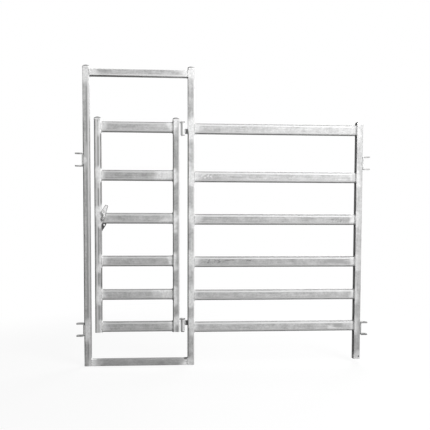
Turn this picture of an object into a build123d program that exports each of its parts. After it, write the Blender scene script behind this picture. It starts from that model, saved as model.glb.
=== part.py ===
from build123d import *
import os
from math import sqrt

# Stockyard panel with a built-in pedestrian gate, in millimetres.
# X runs along the panel towards its fixed end, Y to the back, Z up. The origin lies under the
# middle of the panel, level with the underside of the door sill.

# Square tube of the posts, stiles, header and sill
tube_side = 50.0
tube_wall = 2.0
tube_corner = 5.0

# Flat-sided oval tube of the rails
rail_height = 80.0
rail_depth = 40.0
rail_wall = 2.0

# Panel and door frame
panel_width = 2100.0  # over the outer faces of the two end posts
doorway_width = 722.0  # clear between the two gate posts
frame_height = 2213.0  # gate posts without their caps
header_drop = 8.0  # from the top of a gate post down to the header
panel_rise = 30.0  # end post's foot above the sill's underside, which is let into the ground
foot_plate = 4.0
end_post_overtop = 5.0  # end post above the top rail
vent_hole = 8.0  # drain and vent for the zinc bath, in the front of the sill
vent_inset = 11.0  # from the sill's end at the hinge post
top_vent_hole = 25.0  # larger vent in the top of the sill, at the same end
top_vent_inset = 14.5

# Heights of the rails: the lowest rail's underside, then the clear gaps going up
bottom_rail_underside = 248.0
rail_gaps = (163.0, 172.0, 240.0, 239.0, 277.0)

# Gate leaf
latch_gap = 32.0  # between the latch post and the leaf
hinge_gap = 61.0  # between the leaf and the hinge post
gate_lift = 7.0  # gate rails above the panel's rails
stile_overtop = 11.0  # stiles above the leaf's top rail
stile_undertail = 2.0  # stiles below the leaf's bottom rail

# Pressed post caps
cap_height = 24.0
cap_skirt = 6.0  # height of a cap at its corners
cap_wall = 2.0

# Pin lugs that join the panel to its neighbours: flat bar bent to a U
lug_plate = 8.0
lug_width = 50.0
lug_reach = 60.0  # from the post's face
lug_opening = 84.0  # clear between the legs
lug_bend = 6.0  # inner radius
lug_corner = 14.0
lug_hole = 22.0
lug_hole_reach = 36.0  # from the post's face to the pin's axis
lug_lap = 1.0  # clearance when the lugs of two panels lap over each other
lower_lug_height = 265.0  # middle of the lugs at the fixed end
upper_lug_height = 1534.0

# Gate hinges
hinge_axis_offset = 24.5  # from the hinge stile's face
barrel_diameter = 32.0
barrel_length = 90.0
hinge_pin = 16.0
hinge_clearance = 0.5  # pin in barrel, on the radius
tab_thickness = 8.0
tab_width = 36.0
collar_diameter = 27.0
collar_height = 5.0
collar_gap = 0.5  # lift of the gate on its hinges
hinge_lug_height = 36.0
hinge_lug_thickness = 12.0
lower_barrel_underside = 256.0
upper_barrel_underside = 1733.0
lower_hinge_lug_rise = 46.0  # underside of the lug above the underside of its barrel
upper_hinge_lug_rise = 8.0

# Turn latch on one rail of the gate, counted from the bottom
latch_rail = 4
pivot_offset = 17.0  # from the latch stile's face
latch_shaft = 16.0
latch_clearance = 0.5  # shaft in sleeve, on the radius
sleeve_diameter = 27.0
sleeve_proud = 2.0  # sleeve end beyond the face of the stile
latch_plate = 8.0
latch_play = 0.3  # running gap along the shaft
spring_washer = 2.0
latch_lean = 14.0  # degrees off the vertical while the latch hangs open
hub_radius = 17.0
handle_length = 100.0
handle_half_width = 10.0
handle_flare = 30.0
handle_flare_height = 38.0
handle_neck = 6.0  # thumb notch between the flare and the hub
handle_neck_height = 22.0
handle_hole = 9.0  # for a cord or chain
handle_hole_side = 8.5
handle_hole_height = 48.0
plug_weld = 2.0  # depth of the weld that fills a plate's hole over the end of the shaft
tongue_overlap = 41.0  # tongue behind the latch post when closed
tongue_half_width = 7.0
tongue_ear = 24.0
tongue_ear_drop = 42.0
tongue_waist_drop = 96.0
tongue_hole = 12.0
tongue_hole_side = 10.0
tongue_hole_drop = 49.0
plate_round = 4.0  # rounding of the latch plates' corners

# Keeper hook on the back of the latch post, open below
keeper_width = 30.0
keeper_bar = 6.0
keeper_slot = 14.0
keeper_headroom = 1.0
keeper_prong = 31.0
keeper_pad = 28.0

welded_fit = 0.1  # between a pin, shaft or sleeve and the hole that it is welded into

# Places along X
half_tube = tube_side / 2
latch_post_x = -panel_width / 2 + half_tube
doorway_left = latch_post_x + half_tube
doorway_right = doorway_left + doorway_width
hinge_post_x = doorway_right + half_tube
end_post_x = panel_width / 2 - half_tube
panel_left = hinge_post_x + half_tube
panel_right = end_post_x - half_tube
leaf_left = doorway_left + latch_gap
leaf_right = doorway_right - hinge_gap
latch_stile_x = leaf_left + half_tube
hinge_stile_x = leaf_right - half_tube
hinge_x = leaf_right + hinge_axis_offset
pivot_x = leaf_left + tube_side + pivot_offset

# Heights
panel_rail_z = [bottom_rail_underside + rail_height / 2]
for gap in rail_gaps:
    panel_rail_z.append(panel_rail_z[-1] + rail_height + gap)
gate_rail_z = [z + gate_lift for z in panel_rail_z]
end_post_top = panel_rail_z[-1] + rail_height / 2 + end_post_overtop
stile_foot = gate_rail_z[0] - rail_height / 2 - stile_undertail
stile_top = gate_rail_z[-1] + rail_height / 2 + stile_overtop
header_z = frame_height - header_drop - half_tube
pivot_z = gate_rail_z[latch_rail - 1]

# Turn latch along its shaft, front to back
sleeve_end = half_tube + sleeve_proud
handle_back = -(sleeve_end + latch_play + spring_washer)
tongue_front = sleeve_end + latch_play
tongue_length = pivot_x - doorway_left + tongue_overlap


def square_profile():
    inner = tube_side - 2 * tube_wall
    outer_face = RectangleRounded(tube_side, tube_side, tube_corner)
    return outer_face - RectangleRounded(inner, inner, tube_corner - tube_wall)


def upright(x, foot, top):
    return Pos(x, 0, foot) * extrude(square_profile(), top - foot)


def crossbar(left, right, z):
    return Pos(left, 0, z) * extrude(Plane.YZ * square_profile(), right - left)


def oval_rail(left, right, z):
    outer_face = SlotOverall(rail_height, rail_depth)
    inner_face = SlotOverall(rail_height - 2 * rail_wall, rail_depth - 2 * rail_wall)
    profile = Rot(Z=90) * (outer_face - inner_face)
    return Pos(left, 0, z) * extrude(Plane.YZ * profile, right - left)


def dome(side, corner, radius, centre):
    """Square block with rounded corners, cut off above by a sphere."""
    ball = Pos(0, 0, centre) * Rot(X=90) * Sphere(radius)
    return extrude(RectangleRounded(side, side, corner), cap_height) & ball


def post_cap(x, z):
    """Pressed cap: the sphere passes through its crown and the tops of its corners."""
    corner_reach = (half_tube - tube_corner) * sqrt(2) + tube_corner
    rise = cap_height - cap_skirt
    radius = (corner_reach**2 + rise**2) / (2 * rise)
    centre = cap_height - radius
    hollow_side = tube_side - 2 * cap_wall
    hollow = dome(hollow_side, tube_corner - tube_wall, radius - cap_wall, centre)
    return Pos(x, 0, z) * (dome(tube_side, tube_corner, radius, centre) - hollow)


def pin_lug():
    """Lug on a post face at X = 0, reaching towards +X, with its middle at Z = 0."""
    height = lug_opening + 2 * lug_plate
    outer_face = Pos(lug_reach / 2, 0) * Rectangle(lug_reach, height)
    outer_face = fillet(outer_face.vertices().group_by(Axis.X)[0], lug_bend + lug_plate)
    inner_face = Pos(lug_plate + lug_reach / 2, 0) * Rectangle(lug_reach, lug_opening)
    inner_face = fillet(inner_face.vertices().group_by(Axis.X)[0], lug_bend)
    lug = extrude(Plane.XZ * (outer_face - inner_face), lug_width / 2, both=True)
    lug = fillet(lug.edges().filter_by(Axis.Z).group_by(Axis.X)[-1], lug_corner)
    return lug - Pos(lug_hole_reach, 0, 0) * Cylinder(lug_hole / 2, 2 * height)


def hinge_barrel(z):
    bore = Cylinder(hinge_pin / 2 + hinge_clearance, 2 * barrel_length)
    tube = Cylinder(barrel_diameter / 2, barrel_length)
    return Pos(hinge_x, 0, z + barrel_length / 2) * (tube - bore)


def hinge_lug(z):
    """Short plate from the post to the barrel, hollowed to the barrel's round."""
    reach = doorway_right - hinge_x
    plate = Pos(reach / 2, 0, 0) * Box(reach, hinge_lug_thickness, hinge_lug_height)
    plate -= Cylinder(barrel_diameter / 2, 2 * hinge_lug_height)
    return Pos(hinge_x, 0, z + hinge_lug_height / 2) * plate


def hinge_tab(z):
    """Plate from the stile over the barrel, round at the pin."""
    plan = Pos(-hinge_axis_offset / 2, 0) * Rectangle(hinge_axis_offset, tab_width)
    plan += Circle(tab_width / 2)
    plan -= Circle(hinge_pin / 2 + welded_fit)
    return Pos(hinge_x, 0, z) * extrude(plan, tab_thickness)


def pin_end(barrel_underside):
    return barrel_underside - collar_gap - collar_height


def hinge_pin_solid(barrel_underside):
    foot = pin_end(barrel_underside)
    top = barrel_underside + barrel_length + tab_thickness
    return Pos(hinge_x, 0, foot) * extrude(Circle(hinge_pin / 2), top - foot)


def hinge_collar(barrel_underside):
    ring = Circle(collar_diameter / 2) - Circle(hinge_pin / 2 + welded_fit)
    return Pos(hinge_x, 0, pin_end(barrel_underside)) * extrude(ring, collar_height)


def latch_place(y):
    """Place on the pivot's axis at depth y, facing the front, with +Y along the handle."""
    return Pos(pivot_x, y, pivot_z) * Rot(X=90) * Rot(Z=-latch_lean)


def shaft_hole():
    return Circle(latch_shaft / 2 + welded_fit)


def latch_handle():
    blade = make_face(
        Polyline(
            (handle_half_width, 0),
            (handle_half_width, handle_length),
            (-handle_half_width, handle_length),
            (-handle_flare, handle_flare_height),
            (-handle_neck, handle_neck_height),
            (-hub_radius, 0),
            close=True,
        )
    )
    blade = fillet(blade.vertices().sort_by(Axis.Y)[2:], plate_round)
    face = blade + Circle(hub_radius) - shaft_hole()
    face -= Pos(-handle_hole_side, handle_hole_height) * Circle(handle_hole / 2)
    return extrude(latch_place(handle_back) * face, latch_plate)


def latch_tongue():
    blade = make_face(
        Polyline(
            (hub_radius, 0),
            (tongue_ear, -tongue_ear_drop),
            (tongue_half_width, -tongue_waist_drop),
            (tongue_half_width, -tongue_length),
            (-tongue_half_width, -tongue_length),
            (-hub_radius, 0),
            close=True,
        )
    )
    blade = fillet(blade.vertices().sort_by(Axis.Y)[:-2], plate_round)
    face = blade + Circle(hub_radius) - shaft_hole()
    face -= Pos(tongue_hole_side, -tongue_hole_drop) * Circle(tongue_hole / 2)
    return extrude(latch_place(tongue_front) * face, -latch_plate)


def along_shaft(face, front, back):
    return extrude(latch_place(back) * face, back - front)


def latch_keeper():
    """Hook bent from flat bar: a pad on the post, a web out over the tongue, a prong down."""
    near_edge = pivot_x - latch_post_x - keeper_width / 2
    taper = (hub_radius - tongue_half_width) / tongue_length
    web = pivot_z + hub_radius - taper * near_edge + keeper_headroom
    face = half_tube
    prong = face + keeper_slot
    outline = Polyline(
        (face, web),
        (prong, web),
        (prong, web - keeper_prong),
        (prong + keeper_bar, web - keeper_prong),
        (prong + keeper_bar, web + keeper_bar),
        (face + keeper_bar, web + keeper_bar),
        (face + keeper_bar, web + keeper_bar + keeper_pad),
        (face, web + keeper_bar + keeper_pad),
        close=True,
    )
    hook = extrude(Plane.YZ * make_face(outline), keeper_width / 2, both=True)
    bend = hook.edges().filter_by(Axis.X).sort_by_distance((0, prong + keeper_bar, web + keeper_bar))[0]
    return Pos(latch_post_x, 0, 0) * fillet(bend, keeper_bar)


parts = {}

# Door frame and fixed panel
parts["latch_post"] = upright(latch_post_x, 0, frame_height)
parts["hinge_post"] = upright(hinge_post_x, 0, frame_height)
parts["end_post"] = upright(end_post_x, panel_rise + foot_plate, end_post_top)
foot_face = RectangleRounded(tube_side, tube_side, tube_corner)
parts["end_post_foot"] = Pos(end_post_x, 0, panel_rise) * extrude(foot_face, foot_plate)
parts["header"] = crossbar(doorway_left, doorway_right, header_z)
vent = Pos(doorway_right - vent_inset, -half_tube, half_tube) * Rot(X=90)
vent = vent * Cylinder(vent_hole / 2, tube_side)
top_vent = Pos(doorway_right - top_vent_inset, 0, tube_side) * Cylinder(top_vent_hole / 2, tube_side)
parts["sill"] = crossbar(doorway_left, doorway_right, half_tube) - vent - top_vent
for number, z in enumerate(panel_rail_z, start=1):
    parts[f"panel_rail_{number}"] = oval_rail(panel_left, panel_right, z)
parts["latch_post_cap"] = post_cap(latch_post_x, frame_height)
parts["hinge_post_cap"] = post_cap(hinge_post_x, frame_height)
parts["end_post_cap"] = post_cap(end_post_x, end_post_top)

# Pin lugs. Those at the latch end sit one leg higher, so that the lugs of two panels lap
lap_rise = lug_plate + lug_lap
for level, z in (("lower", lower_lug_height), ("upper", upper_lug_height)):
    parts[f"panel_end_{level}_lug"] = Pos(panel_width / 2, 0, z) * pin_lug()
    latch_end_place = Pos(-panel_width / 2, 0, z + lap_rise)
    parts[f"latch_end_{level}_lug"] = latch_end_place * Rot(Z=180) * pin_lug()

# Hinges
for level, z, lug_rise in (
    ("lower", lower_barrel_underside, lower_hinge_lug_rise),
    ("upper", upper_barrel_underside, upper_hinge_lug_rise),
):
    parts[f"{level}_hinge_barrel"] = hinge_barrel(z)
    parts[f"{level}_hinge_lug"] = hinge_lug(z + lug_rise)
    parts[f"{level}_hinge_tab"] = hinge_tab(z + barrel_length)
    parts[f"{level}_hinge_pin"] = hinge_pin_solid(z)
    parts[f"{level}_hinge_collar"] = hinge_collar(z)

# Gate leaf
parts["latch_stile"] = upright(latch_stile_x, stile_foot, stile_top)
parts["hinge_stile"] = upright(hinge_stile_x, stile_foot, stile_top)
parts["latch_stile_cap"] = post_cap(latch_stile_x, stile_top)
parts["hinge_stile_cap"] = post_cap(hinge_stile_x, stile_top)
for number, z in enumerate(gate_rail_z, start=1):
    parts[f"gate_rail_{number}"] = oval_rail(leaf_left + tube_side, leaf_right - tube_side, z)
sleeve_hole = along_shaft(Circle(sleeve_diameter / 2 + welded_fit), -sleeve_end, sleeve_end)
parts[f"gate_rail_{latch_rail}"] -= sleeve_hole

# Turn latch
sleeve_ring = Circle(sleeve_diameter / 2) - Circle(latch_shaft / 2 + latch_clearance)
parts["latch_sleeve"] = along_shaft(sleeve_ring, -sleeve_end, sleeve_end)
parts["latch_handle"] = latch_handle()
parts["latch_tongue"] = latch_tongue()
shaft_front = handle_back - latch_plate + plug_weld
shaft_back = tongue_front + latch_plate - plug_weld
parts["latch_shaft"] = along_shaft(Circle(latch_shaft / 2), shaft_front, shaft_back)
washer_ring = Circle(sleeve_diameter / 2) - Circle(latch_shaft / 2 + latch_clearance)
parts["latch_spring_washer"] = along_shaft(washer_ring, handle_back, handle_back + spring_washer)
parts["latch_keeper"] = latch_keeper()

os.makedirs("parts", exist_ok=True)
for name, solid in parts.items():
    export_step(solid, f"parts/{name}.step")
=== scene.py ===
from collections import namedtuple
from math import ceil, pi, radians, sqrt

import bmesh
import bpy
from mathutils import Matrix, Vector


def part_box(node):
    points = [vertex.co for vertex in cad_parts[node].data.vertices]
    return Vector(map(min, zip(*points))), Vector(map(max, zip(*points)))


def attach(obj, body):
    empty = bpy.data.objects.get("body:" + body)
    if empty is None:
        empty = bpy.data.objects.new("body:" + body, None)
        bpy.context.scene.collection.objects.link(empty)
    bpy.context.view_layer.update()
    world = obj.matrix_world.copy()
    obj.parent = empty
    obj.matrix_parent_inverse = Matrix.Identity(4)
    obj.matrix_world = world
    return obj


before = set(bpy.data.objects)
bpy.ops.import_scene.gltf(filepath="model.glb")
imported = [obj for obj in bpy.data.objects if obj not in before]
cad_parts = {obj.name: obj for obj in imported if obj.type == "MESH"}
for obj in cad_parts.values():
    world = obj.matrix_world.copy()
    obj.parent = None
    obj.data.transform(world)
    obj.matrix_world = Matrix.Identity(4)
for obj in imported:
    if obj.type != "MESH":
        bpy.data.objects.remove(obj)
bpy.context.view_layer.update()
MM = 0.001

# Camera, fitted to the posts and rails of the photograph in its frame of 430 x 430 pixels
PHOTO_SIDE = 430
PRINCIPAL_ROW = 245
FOCAL_PIXELS = 629.0
CAMERA_PLACE = (-0.3997, -4.7402, 1.1656)
CAMERA_YAW = radians(3.970)
CAMERA_PITCH = radians(-3.084)
CAMERA_ROLL = radians(0.177)
SENSOR = 36.0


def middle(node):
    """Middle of a node's box."""
    low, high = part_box(node)
    return (low + high) / 2


def extent(node):
    """Size of a node's box along each axis."""
    low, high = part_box(node)
    return high - low


# Sizes and places that the frame gives
POSTS = ("latch_post", "hinge_post", "end_post", "latch_stile", "hinge_stile")
GATE_RAILS = [f"gate_rail_{number}" for number in range(1, 7)]
PANEL_RAILS = [f"panel_rail_{number}" for number in range(1, 7)]
LUGS = [f"{end}_end_{level}_lug" for end in ("latch", "panel") for level in ("lower", "upper")]
POST_CAPS = ("latch_post_cap", "hinge_post_cap", "end_post_cap")
STILE_CAPS = ("latch_stile_cap", "hinge_stile_cap")
HINGES = ("lower", "upper")

tube_side = extent("latch_post").x
rail_depth = extent("panel_rail_1").y
rail_height = extent("panel_rail_1").z
doorway_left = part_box("sill")[0].x
doorway_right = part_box("sill")[1].x
latch_axis = middle("latch_shaft")
hinge_axis_x = middle("upper_hinge_barrel").x
barrel_radius = extent("upper_hinge_barrel").x / 2


def linear(hex_colour):
    """Linear colour of an sRGB hex value."""
    channels = [int(hex_colour[i:i + 2], 16) / 255 for i in (1, 3, 5)]
    curved = [c / 12.92 if c <= 0.04045 else ((c + 0.055) / 1.055) ** 2.4 for c in channels]
    return (*curved, 1.0)


def add(tree, kind, links=None, **settings):
    """Adds a node. Each entry of links is an input with its value or with the output that feeds it. A
    mix node's inputs go by number: 0 is the share, 2 and 3 are numbers, and 6 and 7 are colours."""
    node = tree.nodes.new(kind)
    for name, value in settings.items():
        setattr(node, name, value)
    for key, value in (links or {}).items():
        if isinstance(value, bpy.types.NodeSocket):
            tree.links.new(value, node.inputs[key])
        else:
            node.inputs[key].default_value = value
    return node


def new_material(name):
    """A material with its node tree and its shader."""
    material = bpy.data.materials.new(name)
    material.use_nodes = True
    tree = material.node_tree
    return material, tree, tree.nodes["Principled BSDF"]


def nearest(tree, value, places):
    """Distance from a coordinate to the nearest of several places on its axis."""
    best = None
    for place in places:
        offset = add(tree, "ShaderNodeMath", {0: value, 1: place}, operation="SUBTRACT")
        offset = add(tree, "ShaderNodeMath", {0: offset.outputs[0]}, operation="ABSOLUTE")
        if best:
            offset = add(tree, "ShaderNodeMath", {0: best, 1: offset.outputs[0]}, operation="MINIMUM")
        best = offset.outputs[0]
    return best


# Places where silver paint was brushed over a weld. A single patch has its X, its height, and its size
# against the patch at the end of a rail. The brush went further along some gate rails at their hinge
# end, and up or down the hinge post from the panel rails.
rail_ends = [edge.x for rail in ("gate_rail_1", "panel_rail_1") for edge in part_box(rail)]
hinge_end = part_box("gate_rail_1")[1].x
rail_heights = [middle(rail).z for rail in PANEL_RAILS]
POST_PATCH_INSET = 10 * MM
post_patch = doorway_right + POST_PATCH_INSET
single_patches = [
    (doorway_left, middle("sill").z, 1.6),
    (doorway_right, middle("sill").z, 1.6),
    (middle("latch_post").x, middle("header").z, 2.4),
    (doorway_right, middle("header").z, 1.8),
    (doorway_left, middle("latch_end_lower_lug").z, 2.1),
    (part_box("latch_end_upper_lug")[1].x, middle("latch_end_upper_lug").z, 0.7),
    (doorway_right, middle("lower_hinge_lug").z, 1.0),
    (doorway_right, middle("upper_hinge_lug").z, 1.0),
    (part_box("latch_stile")[1].x, middle("latch_handle").z, 1.4),
    (middle("end_post_foot").x, middle("end_post_foot").z, 1.25),
    (middle("hinge_stile").x, middle("lower_hinge_tab").z - 12 * MM, 1.3),
    (hinge_end - 80 * MM, middle("gate_rail_5").z - 40 * MM, 2.2),
    (hinge_end - 35 * MM, middle("gate_rail_5").z - 10 * MM, 1.8),
    (hinge_end - 28 * MM, middle("gate_rail_4").z - 25 * MM, 1.9),
    (hinge_end - 55 * MM, middle("gate_rail_2").z + 5 * MM, 2.2),
    (post_patch, middle("panel_rail_6").z - 25 * MM, 2.1),
    (post_patch, middle("panel_rail_5").z + 15 * MM, 2.1),
    (post_patch, middle("panel_rail_4").z + 38 * MM, 2.1),
    (post_patch, middle("panel_rail_3").z + 10 * MM, 2.3),
    (post_patch, middle("panel_rail_2").z - 19 * MM, 2.1),
]

PAINT_REACH = 48 * MM  # brushed patch, from the joint
PAINT_EDGE = 30 * MM  # width over which the brush runs dry
PAINT_WANDER = 90 * MM  # how far the edge of a patch strays
PAINT_WANDER_SIZE = 110 * MM
PAINT_FRAY = 14 * MM  # and how far its bristle marks reach
PAINT_FRAY_SIZE = 14 * MM


def paint_cover(tree, place):
    """How far silver paint covers the zinc: 1 at a weld, 0 beyond the ragged edge of its patch."""
    parts = add(tree, "ShaderNodeSeparateXYZ", {0: place}).outputs
    along = nearest(tree, parts["X"], rail_ends)
    height = nearest(tree, parts["Z"], rail_heights)
    beyond = add(tree, "ShaderNodeMath", {0: height, 1: rail_height / 2}, operation="SUBTRACT")
    beyond = add(tree, "ShaderNodeMath", {0: beyond.outputs[0], 1: 0.0}, operation="MAXIMUM")
    reach = add(tree, "ShaderNodeCombineXYZ", {"X": along, "Z": beyond.outputs[0]})
    reach = add(tree, "ShaderNodeVectorMath", {0: reach.outputs[0]}, operation="LENGTH").outputs["Value"]
    flat = add(tree, "ShaderNodeCombineXYZ", {"X": parts["X"], "Z": parts["Z"]}).outputs[0]
    for x, z, size in single_patches:
        away = add(tree, "ShaderNodeVectorMath", {0: flat, 1: (x, 0.0, z)}, operation="DISTANCE")
        away = add(tree, "ShaderNodeMath", {0: away.outputs["Value"], 1: size}, operation="DIVIDE")
        reach = add(tree, "ShaderNodeMath", {0: reach, 1: away.outputs[0]}, operation="MINIMUM")
        reach = reach.outputs[0]
    for size, depth in ((PAINT_WANDER_SIZE, PAINT_WANDER), (PAINT_FRAY_SIZE, PAINT_FRAY)):
        noise = add(tree, "ShaderNodeTexNoise", {"Vector": place, "Scale": 1 / size, "Detail": 2.0})
        shift = add(tree, "ShaderNodeMath", {0: noise.outputs[0], 1: depth, 2: reach},
                    operation="MULTIPLY_ADD")
        shift = add(tree, "ShaderNodeMath", {0: shift.outputs[0], 1: depth / 2}, operation="SUBTRACT")
        reach = shift.outputs[0]
    cover = add(tree, "ShaderNodeMapRange", {
        "Value": reach,
        "From Min": PAINT_REACH,
        "From Max": PAINT_REACH - PAINT_EDGE,
    }, interpolation_type="SMOOTHSTEP")
    return cover.outputs[0]


STREAK_WIDTH = 9 * MM
STREAK_LENGTH = 140 * MM
STREAK_SHARE = 0.55  # of the streaks in the grey, beside the clouding
CLOUD_SIZE = 60 * MM
SPANGLE_SIZE = 11 * MM
SPANGLE_SHARE = 0.14
GRAIN_SIZE = 2.5 * MM  # coarser than real zinc, so that it shows
GRAIN_HEIGHT = 0.25 * MM
GRIME_HEIGHT = 90 * MM  # mud splashed up from the ground
GRIME_SHARE = 0.38
SPECK_SIZE = 16 * MM
STRIP_WANDER = 4 * MM
STRIP_FADE = 40 * MM  # at the ends of a strip

# A strip runs along a tube, at places on an axis across it. It may be kept to a stretch of its length,
# and broken up into specks.
Strip = namedtuple("Strip", "axis places width colour stretch speckled", defaults=[None, False])
Stretch = namedtuple("Stretch", "axis low high fade")


def coloured_strip(tree, parts, wander, specks, colour, strip):
    """The colour with a strip laid over it, which has an uneven edge and fades at the ends of its
    stretch."""
    across = nearest(tree, parts[strip.axis], strip.places)
    across = add(tree, "ShaderNodeMath", {0: wander, 1: STRIP_WANDER, 2: across}, operation="MULTIPLY_ADD")
    cover = add(tree, "ShaderNodeMapRange", {
        "Value": across.outputs[0],
        "From Min": strip.width + STRIP_WANDER / 2,
        "From Max": strip.width / 2 + STRIP_WANDER / 2,
    }, interpolation_type="SMOOTHSTEP")
    if strip.stretch:
        axis, low, high, fade = strip.stretch
        away = nearest(tree, parts[axis], [(low + high) / 2])
        within = add(tree, "ShaderNodeMapRange", {
            "Value": away, "From Min": (high - low) / 2, "From Max": (high - low) / 2 - fade,
        })
        cover = add(tree, "ShaderNodeMath", {0: cover.outputs[0], 1: within.outputs[0]},
                    operation="MULTIPLY")
    if strip.speckled:
        cover = add(tree, "ShaderNodeMath", {0: cover.outputs[0], 1: specks}, operation="MULTIPLY")
    return add(tree, "ShaderNodeMix", {0: cover.outputs[0], 6: colour, 7: linear(strip.colour)},
               data_type="RGBA").outputs[2]


# Zinc from its dark to its light grey: tubes come from the mill in slightly different greys
PLAIN_ZINC = ("#9e9e9e", "#c7c7c7")
DULL_ZINC = ("#949494", "#bdbdbd")
BRIGHT_ZINC = ("#a6a6a6", "#cfcfcf")
PLAIN_SILVER = ("#d0d0d0", "#eaeaea")


def galvanised_tube(name, streaks_along, under=(), over=(), zinc=PLAIN_ZINC, silver=PLAIN_SILVER,
                    foot_darkening_height=GRIME_HEIGHT):
    """Pre-galvanised drawn steel tube: dull zinc with spangle, clouding and draw streaks along the
    tube, so the grey is never even. Strips along it are painted highlights and painted shade, and a
    few are seams, paint, rubbing and stains, some under the paint and some over it; knocks have left
    specks. Mud dulls the foot, and brighter, rougher silver paint is brushed over the welds."""
    material, tree, shader = new_material(name)
    place = add(tree, "ShaderNodeTexCoord").outputs["Object"]
    parts = add(tree, "ShaderNodeSeparateXYZ", {0: place}).outputs
    squeeze = [1.0, 1.0, 1.0]
    squeeze["XYZ".index(streaks_along)] = STREAK_WIDTH / STREAK_LENGTH
    drawn = add(tree, "ShaderNodeMapping", {"Vector": place, "Scale": squeeze}).outputs[0]
    streak = add(tree, "ShaderNodeTexNoise", {"Vector": drawn, "Scale": 1 / STREAK_WIDTH, "Detail": 3.0})
    cloud = add(tree, "ShaderNodeTexNoise", {"Vector": place, "Scale": 1 / CLOUD_SIZE, "Detail": 3.0})
    spangle = add(tree, "ShaderNodeTexVoronoi", {"Vector": place, "Scale": 1 / SPANGLE_SIZE})
    tone = add(tree, "ShaderNodeMix", {0: STREAK_SHARE, 2: cloud.outputs[0], 3: streak.outputs[0]})
    crystal = add(tree, "ShaderNodeSeparateColor", {0: spangle.outputs["Color"]})
    tone = add(tree, "ShaderNodeMix", {0: SPANGLE_SHARE, 2: tone.outputs[0], 3: crystal.outputs[0]})
    bright = add(tree, "ShaderNodeMapRange", {
        "Value": tone.outputs[0], "From Min": 0.34, "From Max": 0.66,
    })
    colour = add(tree, "ShaderNodeMix", {0: bright.outputs[0], 6: linear(zinc[0]), 7: linear(zinc[1])},
                 data_type="RGBA").outputs[2]
    marks = add(tree, "ShaderNodeTexNoise", {"Vector": place, "Scale": 1 / SPECK_SIZE, "Detail": 2.0})
    specks = add(tree, "ShaderNodeMapRange", {
        "Value": marks.outputs[0], "From Min": 0.5, "From Max": 0.6,
    })
    for strip in under:
        colour = coloured_strip(tree, parts, streak.outputs[0], specks.outputs[0], colour, strip)
    splash = add(tree, "ShaderNodeMapRange", {
        "Value": parts["Z"], "From Min": foot_darkening_height, "From Max": 0.0, "To Max": GRIME_SHARE,
    })
    colour = add(tree, "ShaderNodeMix", {0: splash.outputs[0], 6: colour, 7: linear("#7a7a7a")},
                 data_type="RGBA").outputs[2]
    brush = add(tree, "ShaderNodeTexNoise", {"Vector": place, "Scale": 1 / PAINT_FRAY_SIZE, "Detail": 3.0})
    thick = add(tree, "ShaderNodeMapRange", {"Value": brush.outputs[0], "From Min": 0.3, "From Max": 0.65})
    paint = add(tree, "ShaderNodeMix", {0: thick.outputs[0], 6: linear(silver[0]), 7: linear(silver[1])},
                data_type="RGBA")
    cover = paint_cover(tree, place)
    colour = add(tree, "ShaderNodeMix", {0: cover, 6: colour, 7: paint.outputs[2]},
                 data_type="RGBA").outputs[2]
    for strip in over:
        colour = coloured_strip(tree, parts, streak.outputs[0], specks.outputs[0], colour, strip)
    tree.links.new(colour, shader.inputs["Base Color"])
    rough = add(tree, "ShaderNodeMapRange", {"Value": tone.outputs[0], "To Min": 0.42, "To Max": 0.6})
    rough = add(tree, "ShaderNodeMix", {0: cover, 2: rough.outputs[0], 3: 0.65})
    tree.links.new(rough.outputs[0], shader.inputs["Roughness"])
    grain = add(tree, "ShaderNodeTexNoise", {"Vector": place, "Scale": 1 / GRAIN_SIZE, "Detail": 2.0})
    bump = add(tree, "ShaderNodeBump", {
        "Height": grain.outputs[0], "Distance": GRAIN_HEIGHT, "Strength": 0.35,
    })
    tree.links.new(bump.outputs[0], shader.inputs["Normal"])
    shader.inputs["Metallic"].default_value = 0.08
    shader.inputs["Specular IOR Level"].default_value = 0.12
    return material


EDGE_WEAR = 12 * MM  # width of the bare edge of a plate
SPLASH_HEIGHT = 500 * MM  # mud on the fittings that hold it, from here down


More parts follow.
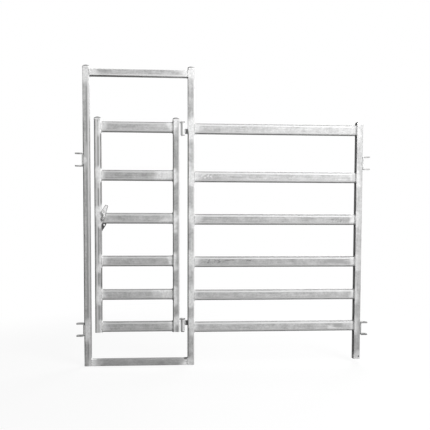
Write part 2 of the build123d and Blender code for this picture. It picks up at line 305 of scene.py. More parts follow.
def dipped_fitting(name, dark, light, bare=None, mud=None, shade_colour=None):
    """Hot-dip galvanised plate and bar: thick dull zinc, lumpy where it ran. Bare steel may show round
    the edges, where the coat is worn through, mud may dull what is near the ground, and painted shade
    may darken every side but the one that faces right, towards the lamps."""
    material, tree, shader = new_material(name)
    coordinates = add(tree, "ShaderNodeTexCoord").outputs
    place = coordinates["Object"]
    cloud = add(tree, "ShaderNodeTexNoise", {"Vector": place, "Scale": 1 / STREAK_WIDTH, "Detail": 4.0})
    bright = add(tree, "ShaderNodeMapRange", {
        "Value": cloud.outputs[0], "From Min": 0.32, "From Max": 0.68,
    })
    colour = add(tree, "ShaderNodeMix", {0: bright.outputs[0], 6: linear(dark), 7: linear(light)},
                 data_type="RGBA").outputs[2]
    if bare:
        rounded = add(tree, "ShaderNodeBevel", {"Radius": EDGE_WEAR}, samples=8).outputs[0]
        flat = add(tree, "ShaderNodeNewGeometry").outputs["True Normal"]
        level = add(tree, "ShaderNodeVectorMath", {0: rounded, 1: flat}, operation="DOT_PRODUCT")
        coat = add(tree, "ShaderNodeMapRange", {
            "Value": level.outputs["Value"], "From Min": 0.9, "From Max": 0.99,
        })
        colour = add(tree, "ShaderNodeMix", {0: coat.outputs[0], 6: linear(bare), 7: colour},
                     data_type="RGBA").outputs[2]
    if mud:
        height = add(tree, "ShaderNodeSeparateXYZ", {0: place}).outputs["Z"]
        splash = add(tree, "ShaderNodeMapRange", {
            "Value": height, "From Min": SPLASH_HEIGHT, "From Max": SPLASH_HEIGHT / 2,
        })
        colour = add(tree, "ShaderNodeMix", {0: splash.outputs[0], 6: colour, 7: linear(mud)},
                     data_type="RGBA").outputs[2]
    # painted shade on every side but the one facing right
    if shade_colour:
        sideways = add(tree, "ShaderNodeSeparateXYZ", {0: coordinates["Normal"]}).outputs["X"]
        side_shade = add(tree, "ShaderNodeMapRange", {"Value": sideways, "From Min": 0.5, "From Max": 0.1})
        colour = add(tree, "ShaderNodeMix", {0: side_shade.outputs[0], 6: colour, 7: linear(shade_colour)},
                     data_type="RGBA").outputs[2]
    tree.links.new(colour, shader.inputs["Base Color"])
    rough = add(tree, "ShaderNodeMapRange", {"Value": cloud.outputs[0], "To Min": 0.4, "To Max": 0.62})
    tree.links.new(rough.outputs[0], shader.inputs["Roughness"])
    grain = add(tree, "ShaderNodeTexNoise", {"Vector": place, "Scale": 1 / GRAIN_SIZE, "Detail": 2.0})
    bump = add(tree, "ShaderNodeBump", {
        "Height": grain.outputs[0], "Distance": GRAIN_HEIGHT, "Strength": 0.5,
    })
    tree.links.new(bump.outputs[0], shader.inputs["Normal"])
    shader.inputs["Metallic"].default_value = 0.1
    shader.inputs["Specular IOR Level"].default_value = 0.15
    return material


CAP_SKIRT = 9 * MM  # painted band of a cap, over its seam


def pressed_cap(name):
    """Pressed steel cap: dull grey crown, with painted shade on its side that faces left, as on the
    posts, and a band of bright silver paint over the seam weld."""
    material, tree, shader = new_material(name)
    coordinates = add(tree, "ShaderNodeTexCoord").outputs
    place = coordinates["Object"]
    cloud = add(tree, "ShaderNodeTexNoise", {"Vector": place, "Scale": 1 / STREAK_WIDTH, "Detail": 4.0})
    height = add(tree, "ShaderNodeSeparateXYZ", {0: place}).outputs["Z"]
    above = nearest(tree, height, [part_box(cap)[0].z for cap in POST_CAPS + STILE_CAPS])
    above = add(tree, "ShaderNodeMath", {0: cloud.outputs[0], 1: CAP_SKIRT, 2: above},
                operation="MULTIPLY_ADD")
    crown = add(tree, "ShaderNodeMapRange", {
        "Value": above.outputs[0], "From Min": CAP_SKIRT, "From Max": 2 * CAP_SKIRT,
    }, interpolation_type="SMOOTHSTEP")
    colour = add(tree, "ShaderNodeMix", {0: crown.outputs[0], 6: linear("#e8e8e8"), 7: linear("#999999")},
                 data_type="RGBA")
    # painted shade on the side that faces left
    sideways = add(tree, "ShaderNodeSeparateXYZ", {0: coordinates["Normal"]}).outputs["X"]
    painted_shade = add(tree, "ShaderNodeMapRange", {"Value": sideways, "From Min": -0.2, "From Max": -0.45})
    colour = add(tree, "ShaderNodeMix", {
        0: painted_shade.outputs[0], 6: colour.outputs[2], 7: linear("#2e2e2e"),
    }, data_type="RGBA")
    tree.links.new(colour.outputs[2], shader.inputs["Base Color"])
    rough = add(tree, "ShaderNodeMapRange", {"Value": cloud.outputs[0], "To Min": 0.45, "To Max": 0.65})
    tree.links.new(rough.outputs[0], shader.inputs["Roughness"])
    bump = add(tree, "ShaderNodeBump", {
        "Height": cloud.outputs[0], "Distance": GRAIN_HEIGHT, "Strength": 0.5,
    })
    tree.links.new(bump.outputs[0], shader.inputs["Normal"])
    shader.inputs["Metallic"].default_value = 0.08
    shader.inputs["Specular IOR Level"].default_value = 0.12
    return material


def silver_paint(name):
    """Cold-galvanising paint on a weld bead: matt, bright aluminium grey, a little darker in places
    where the bead shows through, with painted shade on the side that faces left, as on the posts."""
    material, tree, shader = new_material(name)
    coordinates = add(tree, "ShaderNodeTexCoord").outputs
    place = coordinates["Object"]
    brush = add(tree, "ShaderNodeTexNoise", {"Vector": place, "Scale": 1 / PAINT_FRAY_SIZE, "Detail": 3.0})
    thick = add(tree, "ShaderNodeMapRange", {"Value": brush.outputs[0], "From Min": 0.3, "From Max": 0.6})
    paint = add(tree, "ShaderNodeMix", {0: thick.outputs[0], 6: linear("#c0c0c0"), 7: linear("#ededed")},
                data_type="RGBA")
    # painted shade on the side that faces left
    sideways = add(tree, "ShaderNodeSeparateXYZ", {0: coordinates["Normal"]}).outputs["X"]
    painted_shade = add(tree, "ShaderNodeMapRange", {"Value": sideways, "From Min": -0.05, "From Max": -0.4})
    paint = add(tree, "ShaderNodeMix", {0: painted_shade.outputs[0], 6: paint.outputs[2], 7: linear("#545454")},
                data_type="RGBA")
    tree.links.new(paint.outputs[2], shader.inputs["Base Color"])
    grain = add(tree, "ShaderNodeTexNoise", {"Vector": place, "Scale": 1 / GRAIN_SIZE, "Detail": 2.0})
    bump = add(tree, "ShaderNodeBump", {
        "Height": grain.outputs[0], "Distance": GRAIN_HEIGHT, "Strength": 0.5,
    })
    tree.links.new(bump.outputs[0], shader.inputs["Normal"])
    shader.inputs["Roughness"].default_value = 0.6
    shader.inputs["Metallic"].default_value = 0.08
    shader.inputs["Specular IOR Level"].default_value = 0.12
    return material


# Strips along the tubes: painted shade and painted highlights, with seams, paint, stains and rubbed places
CORNER_STRIP = 9 * MM
SIDE_STRIP = 6 * MM
EDGE_STRIP = 4 * MM
# width of a painted highlight, and of some other narrow strips
SHINE_STRIP = 6 * MM
SHINE_INSET = 10 * MM  # of a painted highlight, in from the tube's edge
# of the painted highlight on the latch post, in from its right edge
POST_SHINE_INSET = 8 * MM
WELD_INSET = 5 * MM  # of thick paint beside a rail, in from the stile's edge
CORNER_HIGHLIGHT_INSET = SHINE_INSET / 3
RUB_INSET = 19 * MM  # of the strip that hands and stock rub bright, in from the stile's edge
UPPER_HIGHLIGHT_FADE = 230 * MM
RAIL_FADE = 16 * MM  # where a strip on a stile ends at a rail
SEAM_STRIP = 5 * MM
SEAM_INSET = 21 * MM
# painted shade along each rail's crest and underside, and painted highlights along its shoulder and belly
CREST_STRIP = 7 * MM
SHOULDER = 26 * MM  # of an oval rail, up from its middle
BELLY = -27 * MM
UNDERSIDE_STRIP = 6 * MM
SOFFIT_STRIP = 4 * MM
SOFFIT_LIGHT = 330 * MM  # painted light along the header's lower edge from the hinge post
HEADER_SHADE = 230 * MM  # painted shade down the hinge post's left corner from the header
LUG_PAINT_STRIP = 14 * MM  # thin paint on the latch post, from below its upper lug to above it
LUG_PAINT_BELOW = 90 * MM
LUG_PAINT_ABOVE = 140 * MM
LUG_PAINT_FADE = 50 * MM
VENT_SHADE = 30 * MM  # painted shade round the vent in the top of the sill, from the hinge post
VENT_SHADE_FADE = VENT_SHADE / 4
FOOT_SPOT_LOW = 6 * MM  # dark spot on the end post, up from its foot
FOOT_SPOT_HIGH = 28 * MM
FOOT_SPOT_FADE = 8 * MM
# the end post gets darker towards the bottom, from this height down
END_POST_DARKENING = 600 * MM
RAIL_END_STAIN = 44 * MM  # on the upper panel rails, from the end post

sill_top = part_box("sill")[1].z
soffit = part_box("header")[0].z
lug_middle = middle("latch_end_upper_lug").z
end_post_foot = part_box("end_post")[0].z
post_left = {post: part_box(post)[0].x for post in POSTS}
post_right = {post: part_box(post)[1].x for post in POSTS}


def between(lower, upper):
    """Stretch of a stile from the top of one node to the underside of another."""
    return Stretch("Z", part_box(lower)[1].z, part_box(upper)[0].z, RAIL_FADE)


def beside(rail):
    """Stretch of a stile beside a rail, and a little below it."""
    low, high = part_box(rail)
    return Stretch("Z", low.z - RAIL_FADE, high.z, RAIL_FADE)


full_height = Stretch("Z", sill_top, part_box("end_post")[1].z + STRIP_FADE, STRIP_FADE)
under_top_rail = Stretch("Z", sill_top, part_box("panel_rail_6")[0].z + STRIP_FADE, STRIP_FADE)
under_header = Stretch("Z", soffit - HEADER_SHADE, soffit + STRIP_FADE, STRIP_FADE)
above_handle = Stretch("Z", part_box("latch_handle")[1].z - STRIP_FADE,
                       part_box("latch_stile")[1].z + STRIP_FADE, STRIP_FADE)
# the latch post's painted highlight is brighter in its upper half
upper_half = Stretch("Z", middle("latch_post").z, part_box("latch_post")[1].z + UPPER_HIGHLIGHT_FADE, UPPER_HIGHLIGHT_FADE)
upper_lug = Stretch("Z", lug_middle - LUG_PAINT_BELOW, lug_middle + LUG_PAINT_ABOVE, LUG_PAINT_FADE)
foot_dark_spot = Stretch("Z", end_post_foot + FOOT_SPOT_LOW, end_post_foot + FOOT_SPOT_HIGH, FOOT_SPOT_FADE)

seams = [post_right[post] - SEAM_INSET for post in ("latch_post", "latch_stile")]
post_highlight = post_right["latch_post"] - POST_SHINE_INSET
stile_highlight = post_right["latch_stile"] - SHINE_INSET
stile_edge = post_right["latch_stile"]
highlight_corners = [post_right[post] - CORNER_HIGHLIGHT_INSET for post in ("hinge_post", "hinge_stile")]
shaded_corners = [post_left[post] for post in ("latch_post", "latch_stile", "hinge_stile")]
shaded_sides = [post_right[post] for post in ("latch_post", "end_post")]
# Painted highlights near the right corners of posts and stiles, with seams and the paint round the latch
# post's upper lug
post_strips = [
    Strip("X", seams, SEAM_STRIP, "#959595"),
    Strip("X", [post_highlight], SHINE_STRIP, "#cdcdcd"),
    Strip("X", [post_highlight], SHINE_STRIP, "#dcdcdc", upper_half),
    Strip("X", [stile_highlight], SHINE_STRIP, "#e0e0e0", above_handle),
    Strip("X", highlight_corners, SHINE_STRIP, "#d0d0d0"),
    Strip("X", [middle("latch_post").x], LUG_PAINT_STRIP, "#c0c0c0", upper_lug),
]
rubbed_stile = [Strip("X", [post_left["latch_stile"] + RUB_INSET], SHINE_STRIP, "#d1d1d1")]
# Painted shade on the left corners and sides and the right edges of posts and stiles, and between rails on
# the latch stile's right edge; a dark spot above the end post's foot; and thick silver paint beside the
# leaf's two top rails
post_shade_and_paint = [
    Strip("X", shaded_corners, CORNER_STRIP, "#5c5c5c", full_height),
    Strip("X", [post_left["hinge_post"]], CORNER_STRIP, "#5c5c5c", under_top_rail),
    Strip("X", [post_left["hinge_post"]], EDGE_STRIP, "#4c4c4c", under_header),
    Strip("X", [post_left["end_post"]], SIDE_STRIP, "#5c5c5c", full_height),
    Strip("X", shaded_sides, EDGE_STRIP, "#8c8c8c", full_height),
    Strip("X", [post_right["end_post"] - SHINE_INSET], SHINE_STRIP, "#626262", foot_dark_spot),
    Strip("X", [stile_edge], SIDE_STRIP, "#606060", between("gate_rail_5", "gate_rail_6")),
    Strip("X", [stile_edge], SIDE_STRIP, "#606060", between("latch_handle", "gate_rail_5")),
    Strip("X", [stile_edge], SIDE_STRIP, "#929292", between("gate_rail_3", "gate_rail_4")),
    Strip("X", [stile_edge], SIDE_STRIP, "#606060", between("gate_rail_2", "gate_rail_3")),
    Strip("X", [stile_edge], SIDE_STRIP, "#929292", between("gate_rail_1", "gate_rail_2")),
    Strip("X", [stile_edge - WELD_INSET], SHINE_STRIP, "#f8f8f8", beside("gate_rail_5")),
    Strip("X", [stile_edge - WELD_INSET], SHINE_STRIP, "#f8f8f8", beside("gate_rail_6")),
]

# Painted shade on the header's lower edge fades from the latch post towards the hinge post, where painted
# light brightens it
doorway = doorway_right - doorway_left
shaded_soffit = Stretch("X", doorway_left - doorway, doorway_left + doorway, doorway)
soffit_painted_light = Stretch("X", doorway_right - SOFFIT_LIGHT, doorway_right + SOFFIT_LIGHT, SOFFIT_LIGHT)
# painted highlight along the header's lower front corner
header_highlight = [Strip("Z", [soffit + SHINE_INSET], SHINE_STRIP, "#cecece")]
header_soffit_shade_and_light = [
    Strip("Z", [soffit], SOFFIT_STRIP, "#3e3e3e", shaded_soffit),
    Strip("Z", [soffit], SOFFIT_STRIP, "#f6f6f6", soffit_painted_light),
]
round_vent = Stretch("X", doorway_right - VENT_SHADE, doorway_right + VENT_SHADE, VENT_SHADE_FADE)
sill_dirt = [Strip("Z", [sill_top], EDGE_STRIP, "#8e8e8e")]
# painted shade round the vent hole
vent_shade = [Strip("Z", [sill_top], EDGE_STRIP, "#454545", round_vent)]


def mark_on(rail, share, rise, width, reach, colour, speckled):
    """Mark on a rail, at a share of its length and as far as rise above its middle. It reaches as far
    to the left as to the right. A knock is speckled, and a stain is even."""
    low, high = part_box(rail)
    x = low.x + share * (high.x - low.x)
    stretch = Stretch("X", x - reach, x + reach, reach / 2)
    return Strip("Z", [middle(rail).z + rise], width, colour, stretch, speckled)


upper_rails = Stretch("Z", middle("panel_rail_4").z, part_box("panel_rail_6")[1].z + STRIP_FADE, STRIP_FADE)
panel_marks = [
    mark_on("panel_rail_5", 0.07, 2 * MM, 24 * MM, 70 * MM, "#d4d4d4", speckled=True),
    mark_on("panel_rail_4", 0.88, -8 * MM, 18 * MM, 90 * MM, "#8a8a8a", speckled=True),
    mark_on("panel_rail_3", 0.12, 4 * MM, 20 * MM, 90 * MM, "#848484", speckled=True),
    mark_on("panel_rail_3", 0.21, 14 * MM, 6 * MM, 60 * MM, "#848484", speckled=True),
    mark_on("panel_rail_3", 0.33, 10 * MM, 8 * MM, 50 * MM, "#848484", speckled=True),
    mark_on("panel_rail_3", 0.85, 6 * MM, 18 * MM, 45 * MM, "#9c9c9c", speckled=False),
    mark_on("panel_rail_3", 0.905, 2 * MM, 18 * MM, 50 * MM, "#9c9c9c", speckled=False),
    mark_on("panel_rail_1", 0.86, -10 * MM, 16 * MM, 40 * MM, "#d6d6d6", speckled=False),
    mark_on("panel_rail_1", 0.9, 5 * MM, 20 * MM, 50 * MM, "#a6a6a6", speckled=False),
    Strip("X", [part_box("panel_rail_6")[1].x], RAIL_END_STAIN, "#bebebe", upper_rails),
]


def rail_zinc(name, rails, tones, zinc, silver, marks=()):
    """Oval rail: painted shade on the crest and the underside, and painted highlights on the shoulder and
    the belly.
    """
    crest, shoulder, belly, underside = tones
    painted_highlights = [
        Strip("Z", [middle(rail).z + SHOULDER for rail in rails], SHINE_STRIP, shoulder),
        Strip("Z", [middle(rail).z + BELLY for rail in rails], SHINE_STRIP, belly),
    ]
    painted_shade = [
        Strip("Z", [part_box(rail)[1].z for rail in rails], CREST_STRIP, crest),
        Strip("Z", [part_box(rail)[0].z for rail in rails], UNDERSIDE_STRIP, underside),
    ]
    return galvanised_tube(name, "X", painted_highlights, [*painted_shade, *marks], zinc, silver)


def gate_rail_zinc(name, zinc):
    """Rail of the leaf, with lighter painted shade on its underside."""
    tones = ("#8c8c8c", "#c5c5c5", "#d1d1d1", "#a8a8a8")
    return rail_zinc(name, GATE_RAILS, tones, zinc, ("#c9c9c9", "#e3e3e3"))


def panel_rail_zinc(name, zinc, crest):
    """Rail of the fixed panel, whose painted shade on the crest is darker or lighter from rail to rail,
    with its marks.
    """
    tones = (crest, "#cecece", "#cfcfcf", "#848484")
    return rail_zinc(name, PANEL_RAILS, tones, zinc, ("#c5c5c5", "#dddddd"), panel_marks)


# Posts, stiles and crossbars, with the tones of zinc and paint that each one has
post_zinc = galvanised_tube("galvanised_post", "Z", post_strips, post_shade_and_paint)
hinge_post_zinc = galvanised_tube("galvanised_hinge_post", "Z", post_strips, post_shade_and_paint,
                                  silver=("#cdcdcd", "#e7e7e7"))
latch_stile_zinc = galvanised_tube("galvanised_latch_stile", "Z", post_strips + rubbed_stile, post_shade_and_paint,
                                   zinc=("#a2a2a2", "#cbcbcb"), silver=("#d9d9d9", "#f4f4f4"))
hinge_stile_zinc = galvanised_tube("galvanised_hinge_stile", "Z", post_strips, post_shade_and_paint,
                                   zinc=("#8e8e8e", "#b5b5b5"))
end_post_zinc = galvanised_tube("galvanised_end_post", "Z", post_strips, post_shade_and_paint,
                                zinc=("#999999", "#c1c1c1"), silver=("#bdbdbd", "#d5d5d5"),
                                foot_darkening_height=END_POST_DARKENING)
header_zinc = galvanised_tube("galvanised_header", "X", header_highlight, header_soffit_shade_and_light)
sill_zinc = galvanised_tube("galvanised_sill", "X", sill_dirt, vent_shade, silver=("#dedede", "#f8f8f8"))

gate_rail = gate_rail_zinc("galvanised_gate_rail", PLAIN_ZINC)
dull_gate_rail = gate_rail_zinc("dull_gate_rail", DULL_ZINC)
bright_gate_rail = gate_rail_zinc("bright_gate_rail", BRIGHT_ZINC)
panel_rail = panel_rail_zinc("galvanised_panel_rail", PLAIN_ZINC, "#8c8c8c")
dull_panel_rail = panel_rail_zinc("dull_panel_rail", DULL_ZINC, "#787878")
bright_panel_rail = panel_rail_zinc("bright_panel_rail", BRIGHT_ZINC, "#969696")

# Fittings: muddy or clean zinc, silver paint on the barrels and the handle, with painted shade on
# the barrels' left side, and dark steel as painted shade on the tongue and the hinge lugs
cap_zinc = pressed_cap("pressed_cap")
fitting_zinc = dipped_fitting("galvanised_fitting", "#9d9d9d", "#c9c9c9", mud="#6a6a6a")
clean_lug = dipped_fitting("clean_lug", "#9d9d9d", "#c9c9c9", mud="#a0a0a0")
barrel_paint = dipped_fitting("painted_barrel", "#dddddd", "#f4f4f4", shade_colour="#c0c0c0")
handle_paint = dipped_fitting("painted_handle", "#eeeeee", "#fbfbfb", bare="#515151")
# painted shade: dark steel for the tongue, in shade behind the rail, and for the hinge lugs, in shade
# between barrel and post
shaded_tongue_steel = dipped_fitting("shaded_tongue", "#494949", "#6b6b6b")
shaded_lug_steel = dipped_fitting("shaded_hinge_lug", "#6e6e6e", "#8e8e8e")
weld_paint = silver_paint("painted_weld")

finishes = {name: fitting_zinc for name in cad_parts}
finishes |= {
    "latch_post": post_zinc,
    "hinge_post": hinge_post_zinc,
    "end_post": end_post_zinc,
    "end_post_foot": end_post_zinc,
    "latch_stile": latch_stile_zinc,
    "hinge_stile": hinge_stile_zinc,
    "header": header_zinc,
    "sill": sill_zinc,
    "latch_end_lower_lug": clean_lug,
    "latch_handle": handle_paint,
    "latch_tongue": shaded_tongue_steel,
}
finishes |= {rail: gate_rail for rail in GATE_RAILS}
finishes |= {"gate_rail_2": bright_gate_rail, "gate_rail_5": dull_gate_rail}
finishes |= {rail: panel_rail for rail in PANEL_RAILS}
finishes |= {"panel_rail_1": bright_panel_rail}
finishes |= {rail: dull_panel_rail for rail in ("panel_rail_3", "panel_rail_4")}
finishes |= {cap: cap_zinc for cap in POST_CAPS + STILE_CAPS}
finishes |= {f"{level}_hinge_barrel": barrel_paint for level in HINGES}
finishes |= {f"{level}_hinge_lug": shaded_lug_steel for level in HINGES}
for name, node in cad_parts.items():
    node.data.materials.clear()
    node.data.materials.append(finishes[name])

# Weld beads
BEAD_RADIUS = 3.5 * MM
SMALL_BEAD_RADIUS = 2.5 * MM
BEAD_SINK = 1.5 * MM  # bead's middle under the surface of a flush joint
BEAD_OUT = 1.2 * MM  # bead's middle out from the two faces of an inner corner
BEAD_STEP = 2 * MM  # half of one ripple
BEAD_SIDES = 8
RIPPLE = 1.16  # size of every other section
BEAD_END = 0.5  # size of a bead's first and last section
MERGE_DISTANCE = 0.01 * MM

# Turns a bead drawn in the XY plane so that it rings the X or Y axis
FACING_X = Matrix(((0, 0, 1), (1, 0, 0), (0, 1, 0))).to_4x4()
FACING_Y = Matrix(((0, 1, 0), (0, 0, 1), (1, 0, 0))).to_4x4()
FACING_Z = Matrix.Identity(4)


def bead(start, heading, moves, radius, closed):
    """Weld bead as a mesh: a round section carried along straight runs and turns, swollen at every
    other step. A run is a vector, and a turn is its centre, axis and angle."""
    bm = bmesh.new()
    facing = Vector(heading).to_track_quat("Z", "X").to_matrix().to_4x4()
    section = bmesh.ops.create_circle(bm, radius=radius, segments=BEAD_SIDES,
                                      matrix=Matrix.Translation(start) @ facing)
    rings = [section["verts"]]
    for move in moves:
        if isinstance(move, Vector):
            step_length = move.length
        else:
            centre, axis, angle = move
            arm = sum((v.co for v in rings[-1]), Vector()) / BEAD_SIDES - centre
            step_length = arm.length * abs(angle)
        steps = 2 * ceil(step_length / BEAD_STEP / 2)
        for _ in range(steps):
            edges = [e for e in bm.edges if e.verts[0] in rings[-1] and e.verts[1] in rings[-1]]
            grown = bmesh.ops.extrude_edge_only(bm, edges=edges)["geom"]
            ring = [item for item in grown if isinstance(item, bmesh.types.BMVert)]
            if isinstance(move, Vector):
                bmesh.ops.translate(bm, verts=ring, vec=move / steps)
            else:
                turn = Matrix.Rotation(angle / steps, 3, axis)
                bmesh.ops.rotate(bm, verts=ring, cent=centre, matrix=turn)
            rings.append(ring)
    sizes = [RIPPLE if index % 2 else 1.0 for index in range(len(rings))]
    if not closed:
        sizes[0] = sizes[-1] = BEAD_END
    for ring, size in zip(rings, sizes):
        centre = sum((v.co for v in ring), Vector()) / BEAD_SIDES
        bmesh.ops.scale(bm, verts=ring, vec=(size,) * 3, space=Matrix.Translation(-centre))
    if closed:
        bmesh.ops.remove_doubles(bm, verts=bm.verts, dist=MERGE_DISTANCE)
    else:
        for ring in (rings[0], rings[-1]):
            bmesh.ops.contextual_create(bm, geom=ring)
    bmesh.ops.recalc_face_normals(bm, faces=bm.faces)
    for face in bm.faces:
        face.smooth = True
    mesh = bpy.data.meshes.new("bead")
    bm.to_mesh(mesh)
    bm.free()
    return mesh


def ring_bead(width, height, corner, radius=BEAD_RADIUS, open_below=False):
    """Round a rectangle with rounded corners in the XY plane, with its middle at the origin."""
    side = width / 2 - corner
    top = height / 2 - corner
    moves = []
    for x, y, run in ((side, top, (0, 2 * top, 0)), (-side, top, (-2 * side, 0, 0)),
                      (-side, -top, (0, -2 * top, 0)), (side, -top, (2 * side, 0, 0))):
        moves.append(Vector(run))
        moves.append((Vector((x, y, 0)), "Z", pi / 2))
    if open_below:
        moves = moves[:5]  # three sides, with the two turns between them
    return bead((width / 2, -top, 0), (0, 1, 0), moves, radius, not open_below)


def straight_bead(length, radius=BEAD_RADIUS):
    """Along the Z axis, with its middle at the origin."""
    return bead((0, 0, -length / 2), (0, 0, 1), [Vector((0, 0, length))], radius, False)


def weld_piece(name, body, placed_beads):
    """One piece of all the beads of a kind, each a bead mesh, the way it faces and its middle."""
    bm = bmesh.new()
    for mesh, facing, place in placed_beads:
        first = len(bm.verts)
        bm.from_mesh(mesh)
        bm.verts.ensure_lookup_table()
        bmesh.ops.transform(bm, verts=bm.verts[first:], matrix=Matrix.Translation(place) @ facing)
    mesh = bpy.data.meshes.new(name)
    bm.to_mesh(mesh)
    bm.free()
    mesh.materials.append(weld_paint)
    piece = bpy.data.objects.new(name, mesh)
    bpy.context.scene.collection.objects.link(piece)
    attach(piece, body)


flush = tube_side - 2 * BEAD_SINK
CORNER_TURN = 5 * MM
rail_ring = ring_bead(rail_depth + 2 * BEAD_OUT, rail_height + 2 * BEAD_OUT, rail_depth / 2 + BEAD_OUT)
header_ring = ring_bead(flush, flush, CORNER_TURN)
sill_arch = ring_bead(flush, flush, CORNER_TURN, open_below=True)
seam_ring = ring_bead(flush, flush, CORNER_TURN, SMALL_BEAD_RADIUS)


def rail_welds(rails):
    """Round both ends of each rail."""
    beads = []
    for rail in rails:
        low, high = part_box(rail)
        for x in (low.x + BEAD_OUT, high.x - BEAD_OUT):
            beads.append((rail_ring, FACING_X, (x, 0, middle(rail).z)))
    return beads


def corner_welds():
    """Round the ends of the header, and over the ends of the sill."""
    beads = []
    for x in (doorway_left + BEAD_OUT, doorway_right - BEAD_OUT):
        beads.append((header_ring, FACING_X, (x, 0, middle("header").z)))
        beads.append((sill_arch, FACING_X, (x, 0, middle("sill").z)))
    return beads


LUG_WELD = 72 * MM
LUG_WELD_INSET = 2 * MM  # in from the lug's edge, in the groove over the post's corner


def lug_welds():
    """Down both sides of each lug, against the post."""
    lug_bead = straight_bead(LUG_WELD)
    beads = []
    for lug in LUGS:
        low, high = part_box(lug)
        post_face = low.x if middle(lug).x > 0 else high.x
        for y in (low.y + LUG_WELD_INSET, high.y - LUG_WELD_INSET):
            beads.append((lug_bead, FACING_Z, (post_face, y, middle(lug).z)))
    return beads


def hinge_lug_welds():
    """Both sides of each lug, against the post and against the barrel."""
    beads = []
    for level in HINGES:
        lug = f"{level}_hinge_lug"
        low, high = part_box(lug)
        lug_bead = straight_bead(high.z - low.z, SMALL_BEAD_RADIUS)
        seat = hinge_axis_x + sqrt(barrel_radius**2 - high.y**2)
        for x in (seat + BEAD_OUT, high.x - BEAD_OUT):
            for y in (low.y - BEAD_OUT, high.y + BEAD_OUT):
                beads.append((lug_bead, FACING_Z, (x, y, middle(lug).z)))
    return beads


def hinge_tab_welds():
    """Over and under each tab against the stile, and round the head of its pin."""
    beads = []
    for level in HINGES:
        low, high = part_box(f"{level}_hinge_tab")
        tab_bead = straight_bead(high.y - low.y - 2 * BEAD_RADIUS, SMALL_BEAD_RADIUS)
        for z in (low.z - BEAD_OUT, high.z + BEAD_OUT):
            beads.append((tab_bead, FACING_Y, (low.x + BEAD_OUT, 0, z)))
        pin = extent(f"{level}_hinge_pin").x
        pin_ring = ring_bead(pin, pin, pin / 2, SMALL_BEAD_RADIUS)
        beads.append((pin_ring, FACING_Z, (hinge_axis_x, 0, high.z - BEAD_OUT)))
    return beads


KEEPER_WELD = 24 * MM


def keeper_welds():
    """Down both sides of the keeper's pad, against the latch post."""
    low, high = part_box("latch_keeper")
    pad_bead = straight_bead(KEEPER_WELD, SMALL_BEAD_RADIUS)
    z = high.z - KEEPER_WELD / 2 - BEAD_SINK
    return [(pad_bead, FACING_Z, (x, low.y + BEAD_OUT, z)) for x in (low.x - BEAD_OUT, high.x + BEAD_OUT)]


def sleeve_welds():
    """Round the sleeve, where it comes out of the rail at the front and at the back."""
    width = extent("latch_sleeve").x + 2 * BEAD_OUT
    ring = ring_bead(width, width, width / 2, SMALL_BEAD_RADIUS)
    face = rail_depth / 2 + BEAD_OUT
    return [(ring, FACING_Y, (latch_axis.x, y, latch_axis.z)) for y in (-face, face)]


PLUG_BEAD_RADIUS = 1.9 * MM
PLUG_RINGS = (4.6 * MM, 1.2 * MM)  # radius of each round of the bead
PLUG_SINK = 0.4 * MM  # of the bead's middle into the end of the shaft


def plug_welds():
    """Fill of the handle's and the tongue's hole over the ends of the shaft, wound from outside in."""
    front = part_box("latch_shaft")[0].y + PLUG_SINK
    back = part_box("latch_shaft")[1].y - PLUG_SINK
    beads = []
    for radius in PLUG_RINGS:
        ring = ring_bead(2 * radius, 2 * radius, radius, PLUG_BEAD_RADIUS)
        beads += [(ring, FACING_Y, (latch_axis.x, y, latch_axis.z)) for y in (front, back)]
    return beads


def cap_welds(caps):
    """Round the seam between each cap and its tube."""
    return [(seam_ring, FACING_Z, (middle(cap).x, 0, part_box(cap)[0].z)) for cap in caps]


foot_seam = (middle("end_post_foot").x, 0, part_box("end_post_foot")[1].z)
weld_piece("panel_rail_welds", "frame", rail_welds(PANEL_RAILS))
weld_piece("frame_corner_welds", "frame", corner_welds())
weld_piece("lug_welds", "frame", lug_welds())
weld_piece("hinge_lug_welds", "frame", hinge_lug_welds())
weld_piece("keeper_welds", "frame", keeper_welds())
weld_piece("post_cap_welds", "frame", cap_welds(POST_CAPS))
weld_piece("end_post_foot_weld", "frame", [(seam_ring, FACING_Z, foot_seam)])
weld_piece("gate_rail_welds", "gate", rail_welds(GATE_RAILS))
weld_piece("hinge_tab_welds", "gate", hinge_tab_welds())
weld_piece("stile_cap_welds", "gate", cap_welds(STILE_CAPS))
weld_piece("sleeve_welds", "gate", sleeve_welds())
weld_piece("latch_plug_welds", "latch", plug_welds())

# Studio: pale floor, white surround, and large soft lights from the front, from near the upper right
# corner, from above and from behind
SURROUND = 0.12
FLOOR_SIZE = 14.0
FLOOR_CLEAR = 1.6  # from the middle out to here the floor shows the shadow
FLOOR_WHITE = 3.2  # and from here on it is white
SHADOW_WHITE = 0.88  # share of white in the part that shows the shadow


def shown_directly(tree):
    """1 for rays that show the surround itself, seen straight, in a reflection or through glass."""
    rays = add(tree, "ShaderNodeLightPath").outputs
    seen = add(tree, "ShaderNodeMath", {0: rays["Is Camera Ray"], 1: rays["Is Glossy Ray"]},
               operation="MAXIMUM")
    return add(tree, "ShaderNodeMath", {0: seen.outputs[0], 1: rays["Is Transmission Ray"]},
               operation="MAXIMUM").outputs[0]


def white_surround():
    """Weak even light from all round, seen as plain white."""
    world = bpy.data.worlds.new("studio")
    world.use_nodes = True
    bpy.context.scene.world = world
    tree = world.node_tree
    soft = tree.nodes["Background"]
    soft.inputs["Color"].default_value = linear("#f4f4f4")
    soft.inputs["Strength"].default_value = SURROUND
    white = add(tree, "ShaderNodeBackground", {"Color": (1, 1, 1, 1), "Strength": 1.0})
    mix = add(tree, "ShaderNodeMixShader", {
        0: shown_directly(tree), 1: soft.outputs[0], 2: white.outputs[0],
    })
    tree.links.new(mix.outputs[0], tree.nodes["World Output"].inputs["Surface"])


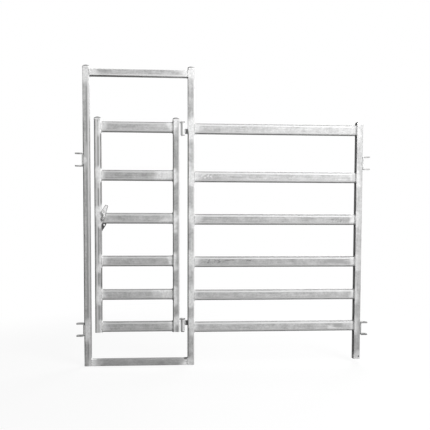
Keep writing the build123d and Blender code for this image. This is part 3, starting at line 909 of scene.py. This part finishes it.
def pale_floor():
    """Matt painted floor: pale, with a faint shadow, and white further out."""
    bm = bmesh.new()
    bmesh.ops.create_grid(bm, x_segments=1, y_segments=1, size=FLOOR_SIZE / 2)
    mesh = bpy.data.meshes.new("floor")
    bm.to_mesh(mesh)
    bm.free()
    material, tree, shader = new_material("pale_floor")
    place = add(tree, "ShaderNodeTexCoord").outputs["Object"]
    away = add(tree, "ShaderNodeVectorMath", {0: place}, operation="LENGTH")
    fade = add(tree, "ShaderNodeMapRange", {
        "Value": away.outputs["Value"], "From Min": FLOOR_CLEAR, "From Max": FLOOR_WHITE,
        "To Min": SHADOW_WHITE, "To Max": 1.0,
    }, interpolation_type="SMOOTHSTEP")
    white = add(tree, "ShaderNodeEmission", {"Color": (1, 1, 1, 1), "Strength": 1.0})
    shader.inputs["Base Color"].default_value = linear("#e6e6e6")
    shader.inputs["Roughness"].default_value = 0.9
    seen = add(tree, "ShaderNodeMixShader", {
        0: fade.outputs[0], 1: shader.outputs[0], 2: white.outputs[0],
    })
    dull = add(tree, "ShaderNodeBsdfDiffuse", {"Color": linear("#505050")})
    both = add(tree, "ShaderNodeMixShader", {
        0: shown_directly(tree), 1: dull.outputs[0], 2: seen.outputs[0],
    })
    tree.links.new(both.outputs[0], tree.nodes["Material Output"].inputs["Surface"])
    mesh.materials.append(material)
    floor = bpy.data.objects.new("floor", mesh)
    bpy.context.scene.collection.objects.link(floor)


def soft_light(name, place, target, size, watts):
    """Square area light, turned towards its target."""
    lamp = bpy.data.lights.new(name, "AREA")
    lamp.shape = "SQUARE"
    lamp.size = size
    lamp.energy = watts
    light = bpy.data.objects.new(name, lamp)
    light.location = place
    light.rotation_euler = (Vector(target) - Vector(place)).to_track_quat("-Z", "Y").to_euler()
    bpy.context.scene.collection.objects.link(light)


def photo_camera():
    """Camera where the photograph was taken from, with its framing."""
    data = bpy.data.cameras.new("camera")
    data.sensor_width = SENSOR
    data.lens = FOCAL_PIXELS / PHOTO_SIDE * SENSOR
    data.shift_y = (PRINCIPAL_ROW - PHOTO_SIDE / 2) / PHOTO_SIDE
    camera = bpy.data.objects.new("camera", data)
    heading = Matrix.Rotation(-CAMERA_YAW, 4, "Z") @ Matrix.Rotation(pi / 2 + CAMERA_PITCH, 4, "X")
    camera.matrix_world = Matrix.Translation(CAMERA_PLACE) @ heading @ Matrix.Rotation(CAMERA_ROLL, 4, "Z")
    bpy.context.scene.collection.objects.link(camera)
    bpy.context.scene.camera = camera


white_surround()
pale_floor()
soft_light("front", place=(2.5, -5.0, 2.4), target=(0.2, 0.0, 1.1), size=2.0, watts=184.0)
soft_light("key", place=(1.9, -2.4, 2.9), target=(0.6, 0.0, 1.5), size=1.5, watts=62.0)
soft_light("top", place=(0.5, -2.0, 4.6), target=(0.0, 0.0, 1.2), size=2.0, watts=50.0)
soft_light("back", place=(1.8, 3.4, 3.2), target=(0.0, 0.0, 1.0), size=2.5, watts=190.0)
photo_camera()
bpy.context.scene.view_settings.view_transform = "Standard"
